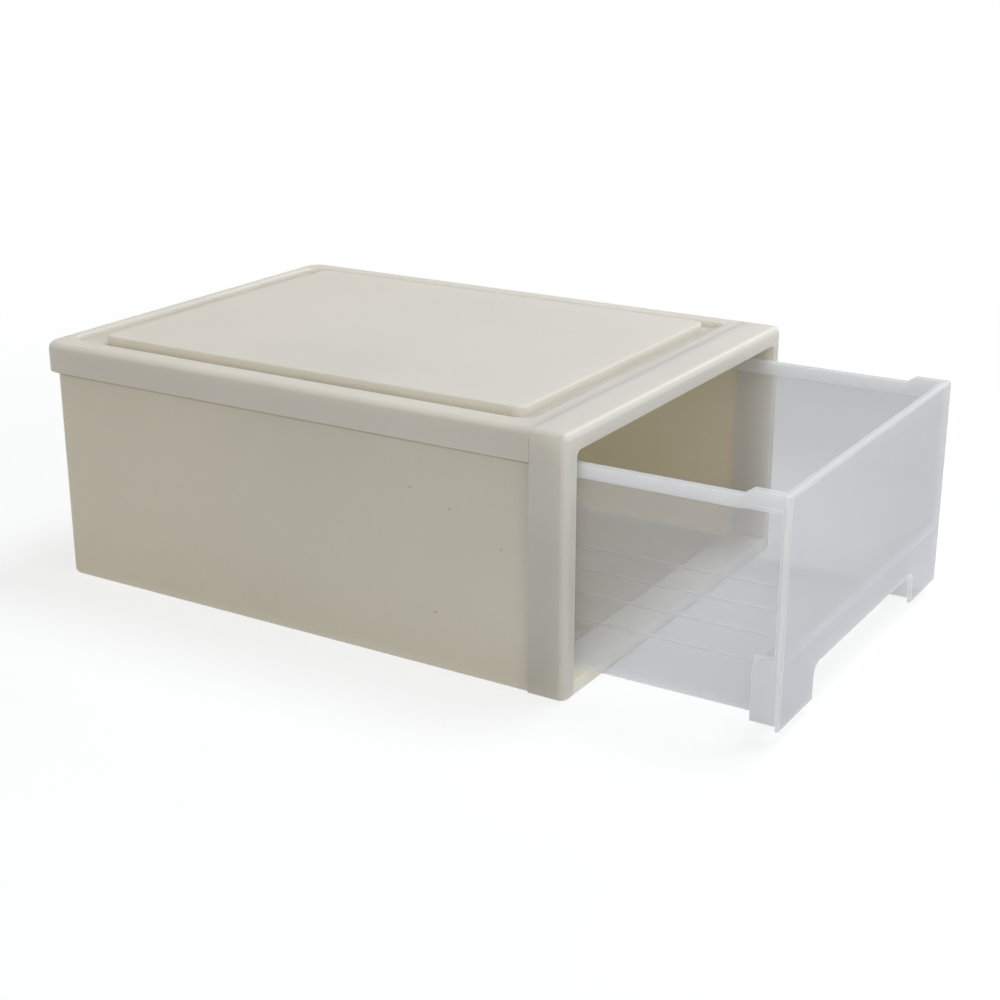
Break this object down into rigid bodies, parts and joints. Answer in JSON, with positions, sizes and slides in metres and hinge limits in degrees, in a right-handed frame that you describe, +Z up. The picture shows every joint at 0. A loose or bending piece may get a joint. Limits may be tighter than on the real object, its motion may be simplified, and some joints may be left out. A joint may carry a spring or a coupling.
{
  "type": "stackable drawer box",
  "caption": "Stackable storage box: an open-fronted case with a keyed top panel and a translucent drawer that slides out of its front.",
  "frame": {"origin": "middle of the case's base, halfway between the front frame's front face and the back of the cover's skirt", "axes": "+X across the box to the right seen from its front, +Y from the front frame to the back, +Z up"},
  "size_m": [0.298, 0.526, 0.1644],
  "materials": {
    "case_plastic": "fine satin moulded texture",
    "drawer_plastic": "translucent, frosted inside and smooth outside"
  },
  "bodies": {
    "case": {"case_tub": "case_plastic", "top_cover": "case_plastic", "front_frame": "case_plastic"},
    "drawer": {"drawer": "drawer_plastic"}
  },
  "joints": [
    {"name": "drawer_slide", "type": "slide", "parent": "case", "child": "drawer", "axis": [0, -1, 0], "range_m": [-0.1231, 0.1766]}
  ]
}
